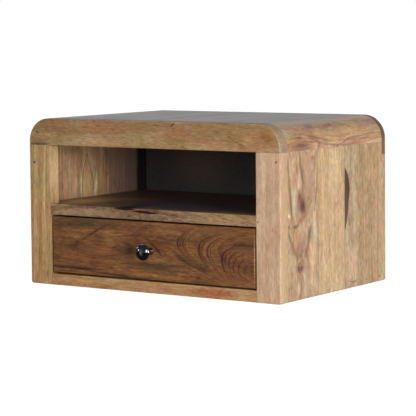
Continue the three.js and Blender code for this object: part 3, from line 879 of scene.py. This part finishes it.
backBoard = {
    "marks": [
        spot((0, 266), (600, 14), "35373a", 0.94, 0.5, plane="xy"),  # painted shade: dark on the face towards the niche
        # a paler, warmer patch in that painted shade, left of the middle; on the outer face it darkens the
        # wood
        spot((-95, 172), (85, 60), "6b5850", 0.5),
    ],
}
# painted shade: the beads in the niche's back corners are nearly black
bead = {**sideBoard, "tones": ("241e1d", "1d1818", "141011"), "shine": 0.05}
rawBoard = {"grain": "y", "face": "x", "roughness": 0.6}  # sanded only
innerBoards = {
    "shelf_front_plank": {
        "seed": 31,
        "drift": 0.4,
        "tones": ("a08b71", "846b54", "563e2c"),
        "ringGap": 4,
        "leanAcross": 0.5,
        "bands": 0.3,
        "lines": 0.4,
        "streaks": 0.9,
        "streakLength": 12,
        "fibres": 0.8,
        "joints": "x",
        "marks": [
            spot((125, 116), (125, 20), "b48f60", 0.55),
            streak((34, 118), (38, 1.2), "6f4a2a", 0.6, 0.9, turn=-10),
            streak((60, 115), (60, 0.9), "6f5030", 0.5, 0.9, turn=-6),
            streak((110, 113), (60, 0.8), "6f5030", 0.45, 0.9, turn=-5),
            streak((130, 119), (50, 0.9), "7f5c36", 0.45, 0.9, turn=-5),
            streak((66, 121), (26, 1.2), "6a4426", 0.7, 0.9, turn=-12),
            streak((90, 117), (22, 1.1), "5c3a22", 0.7, 0.9, turn=-14),
            streak((118, 120), (20, 1.2), "6a4426", 0.65, 0.9, turn=-10),
            streak((140, 114), (24, 1.1), "5c3a22", 0.65, 0.9, turn=-12),
            streak((166, 118), (18, 1.3), "5c3a22", 0.7, 0.9, turn=-16),
            streak((172, 112.5), (12, 1.1), "5c3a22", 0.7, 0.9, turn=-8),
            spot((-110, 114), (80, 8), "a38463", 0.7),
            spot((-20, 119), (52, 5), "7c4428", 0.6),
            streak((-46, 121.8), (22, 2.8), "1c0a06", 0.97, 0.4),
            streak((-8, 118.2), (27, 2.5), "1c0a06", 0.97, 0.5, turn=-3),
            streak((-64, 121), (9, 1), "6a2c16", 0.7, 0.9),
            streak((24, 117), (38, 1.1), "3c1c10", 0.7, 0.9, turn=-5),
            # painted shade over the middle and right of the shelf
            spot((66, 84), (212, 90), "534b54", 0.9, 0.4, plane="xy"),
            streak((-50, 12), (30, 9), "33160c", 0.8, turn=-14, plane="xy"),
            # painted light: a pale pool at the left of the shelf
            spot((-165, 60), (52, 80), "e0ab74", 0.9, plane="xy"),
        ],
    },
    "shelf_rear_plank": {
        "face": "z",
        "seed": 32,
        # painted shade: dark tones, at the back of the niche
        "tones": ("806b67", "63504f", "423436"),
        "joints": "x",
    },
    "bottom_board": {"face": "z", "seed": 33, "joints": "y"},
    "back_plank_1": {**backBoard, "seed": 34, "tones": ("a88b6b", "8c7053", "664c36")},
    "back_plank_2": {**backBoard, "seed": 35, "tones": ("9f8364", "83684c", "5f4632")},
    "back_plank_3": {**backBoard, "seed": 36, "tones": ("ab8e6e", "8f7356", "694f39")},
    "left_niche_bead": {**bead, "seed": 37},
    "right_niche_bead": {**bead, "seed": 38},
    "back_hanging_rail": {
        "seed": 39,
        "tones": ("916d4b", "7a5739", "5a3c25"),
        "end": "69482c",
    },
    "left_drawer_guide": {**rawBoard, "seed": 41},
    "right_drawer_guide": {**rawBoard, "seed": 42},
    "left_drawer_stop": {**rawBoard, "face": "z", "seed": 43},
    "right_drawer_stop": {**rawBoard, "face": "z", "seed": 44},
}

dressBoards(innerBoards)

dowel = {"tones": ("dcc193", "cfae7b", "b08c5a"), "roughness": 0.6}
dowels = {
    "stile_dowel": {**dowel, "grain": "z", "seed": 45},
    "rail_dowel": {**dowel, "face": "z", "seed": 46},
}

for side in ("left", "right"):
    for name, board in dowels.items():
        dress(side + "_" + name, woodFinish(side + "_" + name, board))
print("inside dressed")


# Drawer


def arc(at, size, share, turn, bend):
    # one dark line of the arched figure at the right
    return streak(at, size, "40221a", share, 0.9, turn, bend)


drawerBoards = {
    "drawer_front": {
        "seed": 51,
        "tones": ("956b43", "734f32", "44291e"),
        "ringGap": 3.4,
        "leanAcross": 0.5,
        "leanThrough": 0.3,
        "sway": 5,
        "ripple": 2,
        "bands": 0.22,
        "lines": 0.3,
        "streaks": 0.5,
        "streakLength": 24,
        "clouds": 0.4,
        "fibres": 0.7,
        "pores": 0.4,
        "roughness": 0.42,
        "joints": "xz",  # painted shade: the edges face the gaps round the drawer
        "darkEndShare": 0.3,
        "hills": [hill((-92, 58), (60, 20), 10)],
        "arches": [arch((46, 74), 0.042, 0.8, -8)],
        "marks": [
            spot((-130, 96), (80, 14), "3d341e", 0.75, turn=3),
            spot((-60, 99), (36, 6), "544625", 0.6, turn=15),
            streak((-100, 86.5), (54, 3.2), "40221a", 0.8, turn=27, bend=-7),
            streak((-138, 63), (16, 3.4), "40221a", 0.75, turn=56),
            spot((-150, 50), (40, 16), "7c4a2c", 0.45),
            streak((-96, 71), (38, 1.8), "4c281c", 0.55, bend=-6),
            streak((-96, 66), (30, 1.4), "4c281c", 0.4, bend=-4),
            streak((-88, 46), (50, 2), "4c281c", 0.55, bend=3),
            spot((-92, 58), (42, 9), "8f603c", 0.5),
            streak((-140, 28.5), (72, 5), "3c1a12", 0.85),
            streak((-58, 22.5), (80, 2.6), "3a1c12", 0.75, turn=-3),
            spot((10, 26), (90, 4.5), "9a6a3a", 0.65, turn=-2),
            streak((8, 68), (26, 4.4), "3f2016", 0.75, turn=-40),
            streak((20, 66), (20, 2), "45261a", 0.55, turn=-45),
            spot((-26, 84), (28, 8), "5c3424", 0.55, turn=10),
            # painted shadow of the knob
            spot((-38, 61), (19, 15), "3a241a", 0.72),
            spot((0, 40), (75, 11), "3f311c", 0.75, turn=-4),
            spot((54, 54), (26, 7), "443622", 0.65, turn=-34),
            spot((92, 42), (26, 8), "38241a", 0.75, turn=-22),
            streak((76, 44), (52, 2.6), "3c2418", 0.6, turn=-24),
            spot((85, 28), (7, 5), "382014", 0.7),
            spot((30, 92), (44, 9), "946840", 0.5),
            arc((48.5, 76), (34, 2.4), 0.9, 88, -52),
            arc((53, 76), (30, 1.9), 0.7, 88, -40),
            arc((57.5, 76), (28, 2.1), 0.75, 86, -34),
            arc((62, 75), (24, 1.6), 0.55, 86, -25),
            arc((86, 72), (43, 2.8), 0.95, 78, -64),
            arc((90.5, 71), (38, 2), 0.7, 78, -50),
            streak((96, 71), (34, 1.6), "9a6b42", 0.5, 0.9, turn=78, bend=-50),
            arc((101, 70), (40, 2.6), 0.85, 77, -56),
            arc((106, 69), (30, 1.8), 0.6, 77, -32),
            arc((126.5, 61), (37, 3), 0.95, 72, -44),
            arc((132, 60), (32, 2), 0.7, 72, -33),
            arc((138, 57), (30, 2.4), 0.8, 70, -30),
            arc((146, 54), (26, 2), 0.65, 70, -24),
            arc((155, 50), (24, 2.2), 0.7, 70, -22),
            arc((165, 46), (20, 2), 0.65, 72, -18),
            spot((176, 46), (5, 12), "50291c", 0.6),
            streak((162, 80), (36, 4.4), "3f2419", 0.8, bend=-5),
            streak((150, 72), (30, 2), "8f5c34", 0.4, turn=8, bend=-6),
            # painted highlight along the drawer front's right edge
            spot((180.8, 62), (44, 1), "b98f62", 0.7, 0.6, turn=90),
        ],
    },
    "drawer_left_side": {**rawBoard, "seed": 52},
    "drawer_right_side": {**rawBoard, "seed": 53},
    "drawer_back": {**rawBoard, "grain": "x", "face": "y", "seed": 54},
}

dressBoards(drawerBoards)
drawerBottom = {"face": "z", "seed": 55, "tones": ("dcc49a", "b8946a", "7f5a38")}
dress("drawer_bottom", woodFinish("drawer_bottom", drawerBottom))
print("drawer dressed")


# Metal

plainMetal = {
    "smearSize": 4,  # of one smear
    "smearReach": (0.35, 0.75),
    "smearShade": 0.75,  # of the colour, where the metal is smeared
    "gritSize": 0.4,
    "gritDepth": 0.1,
    "reflectionSway": 5,
    "reflectionShare": 0.7,
    "reflectionMetal": 0.5,  # how much less metallic in the painted reflection
}
steel = {"colour": "b9b9b4", "roughness": 0.34, "smear": 0.16, "grit": 0.05}
zinc = {"colour": "c3bd9a", "roughness": 0.3, "smear": 0.14, "grit": 0.05}
nickel = {
    "colour": "828388",
    "roughness": 0.11,
    "smear": 0.06,
    "grit": 0,
    "reflectionColour": "7d6152",  # painted brown reflection, at the middle of the head
    "reflectionReach": 5.5,
}


def metalFinish(name, metal, middle=None):
    # the middle is that of a painted reflection
    values = {**plainMetal, **metal}
    sheet = Sheet(bpy.data.materials.new(name))
    place = sheet.coordinates("Object")
    smears = sheet.noise(place, (values["smearSize"] / perMetre,) * 3, detail=3)
    grit = sheet.noise(place, (values["gritSize"] / perMetre,) * 3)
    colour = colourOf(values["colour"])
    darker = tuple(values["smearShade"] * share for share in colour[:3]) + (1,)
    finish = sheet.mix(sheet.step(smears, *values["smearReach"]), colour, darker)
    paintedReflection = 0
    if middle:
        gap = sheet.vectors("DISTANCE", {0: place, 1: middle}, "Value") * perMetre
        paintedReflection = sheet.step(gap + smears.swing(values["reflectionSway"]), values["reflectionReach"], 0)
        finish = sheet.mix(paintedReflection * values["reflectionShare"], finish, colourOf(values["reflectionColour"]))
    return sheet.finish(
        {
            "Base Color": finish,
            "Metallic": 1 - paintedReflection * values["reflectionMetal"],
            "Roughness": smears.swing(values["smear"]) + values["roughness"],
            "Normal": sheet.bump(grit, values["grit"], values["gritDepth"]),
        }
    )


for plain in ("drawer_knob_screw", "left_hanger_plate", "right_hanger_plate"):
    dress(plain, metalFinish(plain + " steel", steel), smooth=True)
print("metal dressed")


# Knob, turned about an axis that points out of the drawer

knobForm = {
    "lines": [  # radius and reach; two points make a line, more of them a curve
        [(0, 10.25), (2.25, 10.25)],
        [(2.25, 10.25), (2.25, 0)],
        [(2.25, 0), (5.4, 0)],
        [(5.4, 0), (5.4, 0.8)],
        [(5.4, 0.8), (5.2, 2.6), (3.7, 3.6), (3.6, 7)],
        [(3.6, 7), (3.6, 13), (4.6, 17.4), (10.2, 17.4)],
        [(10.2, 17.4), (12.6, 17.4), (12.6, 21), (10.2, 21)],
        [(10.2, 21), (6, 24), (0, 24)],
    ],
    "along": 16,
    "around": 96,
}


def onCurve(points, share):
    while len(points) > 1:
        pairs = zip(points, points[1:])
        points = [tuple(a + (b - a) * share for a, b in zip(first, second)) for first, second in pairs]
    return points[0]


def turnedProfile(values):
    profile = []
    for points in values["lines"]:
        steps = values["along"] if len(points) > 2 else 1
        profile += [onCurve(points, step / steps) for step in range(steps)]
    return profile + [values["lines"][-1][-1]]


def makeKnob(node, values):
    low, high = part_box(node)
    middle = (low + high) / 2
    shape = bmesh.new()
    rings = []
    for radius, reach in turnedProfile(values):
        ring = []
        for spoke in range(values["around"] if radius else 1):
            turn = 2 * math.pi * spoke / values["around"]
            place = (radius * math.cos(turn), reach, radius * math.sin(turn))
            x, y, z = (length / perMetre for length in place)
            ring.append(shape.verts.new((middle.x + x, high.y - y, middle.z + z)))
        rings.append(ring)
    for first, second in zip(rings, rings[1:]):
        for spoke in range(values["around"]):
            corners = [first[spoke % len(first)], first[(spoke + 1) % len(first)]]
            corners += [second[(spoke + 1) % len(second)], second[spoke % len(second)]]
            shape.faces.new(list(dict.fromkeys(corners)))
    bmesh.ops.recalc_face_normals(shape, faces=shape.faces)
    mesh = bpy.data.meshes.new(node + "_turned")
    shape.to_mesh(mesh)
    shape.free()
    shadeSmooth(mesh)
    mesh.materials.append(metalFinish("dark nickel", nickel, (middle.x, low.y, middle.z)))
    standFor(linked(node + "_turned", mesh), node)


makeKnob("drawer_knob", knobForm)
print("knob turned")


# Screws of the hanger plates and pins of the drawer's bottom

plateScrews = {
    "inset": 5,  # from the plate's ends
    "sunk": 0.05,  # below the plate's face
    "Head Radius": 3.1,
    "Tip Radius": 1.6,
    "Head Depth": 1.4,
    "Recess Length": 3.4,
    "Recess Width": 0.8,
}
bottomPins = {
    "count": 5,
    "inset": 30,  # from the drawer's sides
    "sunk": 0.2,  # into the plywood
    "Head Radius": 1.3,
    "Tip Radius": 1.3,
    "Head Depth": 0.5,
    "Recess Length": 0.6,
    "Recess Width": 0.6,
}
sizeNames = ("Head Radius", "Tip Radius", "Head Depth", "Recess Length", "Recess Width")
headSides = 32
turnSeed = 4


class GeometrySheet:
    # a Geometry Nodes tree with named inputs
    def __init__(self, name, sizes):
        self.tree = bpy.data.node_groups.new(name, "GeometryNodeTree")
        self.tree.interface.new_socket("Geometry", in_out="INPUT", socket_type="NodeSocketGeometry")
        self.tree.interface.new_socket("Geometry", in_out="OUTPUT", socket_type="NodeSocketGeometry")
        for size in sizes:
            self.tree.interface.new_socket(size, in_out="INPUT", socket_type="NodeSocketFloat")
        self.given = self.tree.nodes.new("NodeGroupInput").outputs

    def node(self, kind, settings=None, inputs=None, output=0):
        made = self.tree.nodes.new(kind)
        for key, value in (settings or {}).items():
            setattr(made, key, value)
        for key, value in (inputs or {}).items():
            for one in value if isinstance(value, list) else [value]:
                if isinstance(one, bpy.types.NodeSocket):
                    self.tree.links.new(one, made.inputs[key])
                else:
                    made.inputs[key].default_value = one
        return made.outputs[output] if made.outputs else None

    def joined(self, x, y, z):
        return self.node("ShaderNodeCombineXYZ", {}, {0: x, 1: y, 2: z})


def fastenerTree(name, material, facing):
    # heads that stand on the points of the mesh, each turned by chance about its own axis
    sheet = GeometrySheet(name, sizeNames)
    given = sheet.given
    cone = {
        "Vertices": headSides,
        "Radius Top": given["Head Radius"],
        "Radius Bottom": given["Tip Radius"],
        "Depth": given["Head Depth"],
    }
    head = sheet.node("GeometryNodeMeshCone", {}, cone)
    lift = sheet.joined(0, 0, given["Head Depth"])
    slots = []
    for first, second in (("Recess Length", "Recess Width"), ("Recess Width", "Recess Length")):
        size = sheet.joined(given[first], given[second], given["Head Depth"])
        slot = sheet.node("GeometryNodeMeshCube", {}, {"Size": size})
        slots.append(sheet.node("GeometryNodeTransform", {}, {"Geometry": slot, "Translation": lift}))
    solids = {"Mesh 1": head, "Mesh 2": slots}
    cut = sheet.node("GeometryNodeMeshBoolean", {"operation": "DIFFERENCE"}, solids)
    chance = sheet.node("FunctionNodeRandomValue", {"data_type": "FLOAT"}, {"Seed": turnSeed}, "Value")
    turn = sheet.node("ShaderNodeMath", {"operation": "MULTIPLY"}, {0: chance, 1: math.pi})
    placed = {"Points": given["Geometry"], "Instance": cut, "Rotation": facing}
    heads = sheet.node("GeometryNodeInstanceOnPoints", {}, placed)
    spin = {"Instances": heads, "Rotation": sheet.joined(0, 0, turn)}
    turned = sheet.node("GeometryNodeRotateInstances", {}, spin)
    solid = sheet.node("GeometryNodeRealizeInstances", {}, {"Geometry": turned})
    coloured = sheet.node("GeometryNodeSetMaterial", {}, {"Geometry": solid, "Material": material})
    sheet.node("NodeGroupOutput", {}, {"Geometry": coloured})
    return sheet.tree


def makeFasteners(name, tree, places, values, body):
    mesh = bpy.data.meshes.new(name)
    mesh.from_pydata(places, [], [])
    made = linked(name, mesh)
    modifier = made.modifiers.new("fasteners", "NODES")
    modifier.node_group = tree
    for item in tree.interface.items_tree:
        if item.name in sizeNames:
            modifier[item.identifier] = values[item.name] / perMetre
    ready = made.evaluated_get(bpy.context.evaluated_depsgraph_get())
    result = bpy.data.meshes.new_from_object(ready)
    made.modifiers.remove(modifier)
    made.data = result
    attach(made, body)


def screwPlaces(values):
    places = []
    for node in ("left_hanger_plate", "right_hanger_plate"):
        low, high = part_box(node)
        inset = values["inset"] / perMetre
        sunk = high.y - (values["Head Depth"] + values["sunk"]) / perMetre
        places += [(x, sunk, (low.z + high.z) / 2) for x in (low.x + inset, high.x - inset)]
    return places


def pinPlaces(values):
    rearLow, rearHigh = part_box("drawer_back")
    low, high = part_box("drawer_bottom")
    inset = values["inset"] / perMetre
    gap = (high.x - low.x - 2 * inset) / (values["count"] - 1)
    rear = (rearLow.y + rearHigh.y) / 2
    height = low.z + values["sunk"] / perMetre
    return [(low.x + inset + gap * pin, rear, height) for pin in range(values["count"])]


zincFinish = metalFinish("zinc", zinc)
screwTree = fastenerTree("plate screws", zincFinish, (math.radians(-90), 0, 0))
pinTree = fastenerTree("bottom pins", zincFinish, (math.radians(180), 0, 0))
makeFasteners("plate_screws", screwTree, screwPlaces(plateScrews), plateScrews, "cabinet")
makeFasteners("bottom_pins", pinTree, pinPlaces(bottomPins), bottomPins, "drawer")
print("fasteners set")


# Floor, world and lamps

stage = {
    "floorDrop": 0.62,  # below the cabinet's foot, since it hangs on a wall
    "floorSize": 16,
    "floorColour": "ebeae8",
    "floorGlow": 0.84,  # for the camera and for reflections
    "floorBehind": (0.2, 1.5),  # where the floor in reflections turns from dim to pale
    "roomColour": "3a3938",  # the floor in front, for reflections only
    "roomLevel": 0.08,  # of the world in front, for reflections only
    "worldLevel": 0.2,
    "worldBehind": (0.3, 0.75),  # where the world of reflections turns from the room to the sheen
    "sheenLevel": 0.55,  # behind, for reflections only
    "sheenColour": "e8eef6",
    "lamps": [
        {"name": "side", "azimuth": 62, "elevation": 6, "distance": 2.6, "size": 0.8, "power": 55},
        {"name": "front", "azimuth": 24, "elevation": 8, "distance": 2.4, "size": 0.7, "power": 14},
        {"name": "left", "azimuth": -60, "elevation": 6, "distance": 2.4, "size": 0.3, "power": 2},
        {"name": "fill", "azimuth": 265, "elevation": 50, "distance": 2.6, "size": 1.2, "power": 24},
        {"name": "rear", "azimuth": 180, "elevation": -8, "distance": 2.6, "size": 1, "power": 24},
    ],
}


def makeFloor(values):
    half = values["floorSize"] / 2
    level = cabinetFoot - values["floorDrop"]
    mesh = bpy.data.meshes.new("floor")
    corners = [(-half, -half, level), (half, -half, level), (half, half, level), (-half, half, level)]
    mesh.from_pydata(corners, [], [(0, 1, 2, 3)])
    sheet = Sheet(bpy.data.materials.new("pale floor"))
    path = sheet.node("ShaderNodeLightPath", output="Is Camera Ray")
    glossy = path.out("Is Glossy Ray")
    behind = sheet.step(sheet.parted(sheet.coordinates("Object")).out("Y"), *values["floorBehind"])
    seen = sheet.maths("MINIMUM", path + glossy * behind, 1)
    colour = sheet.mix(glossy * (1 - behind), colourOf(values["floorColour"]), colourOf(values["roomColour"]))
    lit = sheet.node("ShaderNodeBsdfDiffuse", {}, {"Color": colour})
    glow = sheet.node("ShaderNodeEmission", {}, {"Color": (1, 1, 1, 1), "Strength": values["floorGlow"]})
    both = sheet.node("ShaderNodeAddShader", {}, {0: lit, 1: glow})
    below = sheet.node("ShaderNodeNewGeometry", output="Backfacing")
    clear = sheet.node("ShaderNodeBsdfTransparent")
    shown = sheet.mixShaders(below, sheet.mixShaders(seen, lit, both), clear)
    sheet.node("ShaderNodeOutputMaterial", {}, {"Surface": shown})
    mesh.materials.append(sheet.owner)
    linked("floor", mesh)


def makeWorld(values):
    # white to look at; in reflections pale behind the object and a dim room in front of it
    world = bpy.data.worlds.new("studio")
    bpy.context.scene.world = world
    sheet = Sheet(world)
    path = sheet.node("ShaderNodeLightPath", output="Is Camera Ray")
    behind = sheet.step(sheet.parted(sheet.coordinates("Generated")).out("Y"), *values["worldBehind"])
    seen = sheet.maths("MINIMUM", path + path.out("Is Transmission Ray"), 1)
    lights = [("ffffff", values["worldLevel"]), ("ffffff", values["roomLevel"])]
    lights += [(values["sheenColour"], values["sheenLevel"]), ("ffffff", 1)]
    plain, room, sheen, white = (
        sheet.node("ShaderNodeBackground", {}, {"Color": colourOf(colour), "Strength": level})
        for colour, level in lights
    )
    around = sheet.mixShaders(path.out("Is Glossy Ray"), plain, sheet.mixShaders(behind, room, sheen))
    sheet.node("ShaderNodeOutputWorld", {}, {"Surface": sheet.mixShaders(seen, around, white)})


def makeLamps(values):
    middle = Vector((0, cabinetFront / 2, cabinetFoot / 2))
    for lamp in values["lamps"]:
        azimuth = math.radians(lamp["azimuth"])
        elevation = math.radians(lamp["elevation"])
        flat = math.cos(elevation)
        towards = Vector((math.sin(azimuth) * flat, -math.cos(azimuth) * flat, math.sin(elevation)))
        data = bpy.data.lights.new(lamp["name"] + " lamp", "AREA")
        data.energy = lamp["power"]
        data.size = lamp["size"]
        made = linked(lamp["name"] + " lamp", data)
        made.location = middle + towards * lamp["distance"]
        made.rotation_euler = (-towards).to_track_quat("-Z", "Y").to_euler()


makeCamera(camera)
makeFloor(stage)
makeWorld(stage)
makeLamps(stage)
bpy.context.scene.view_settings.view_transform = "Standard"
print("stage lit")
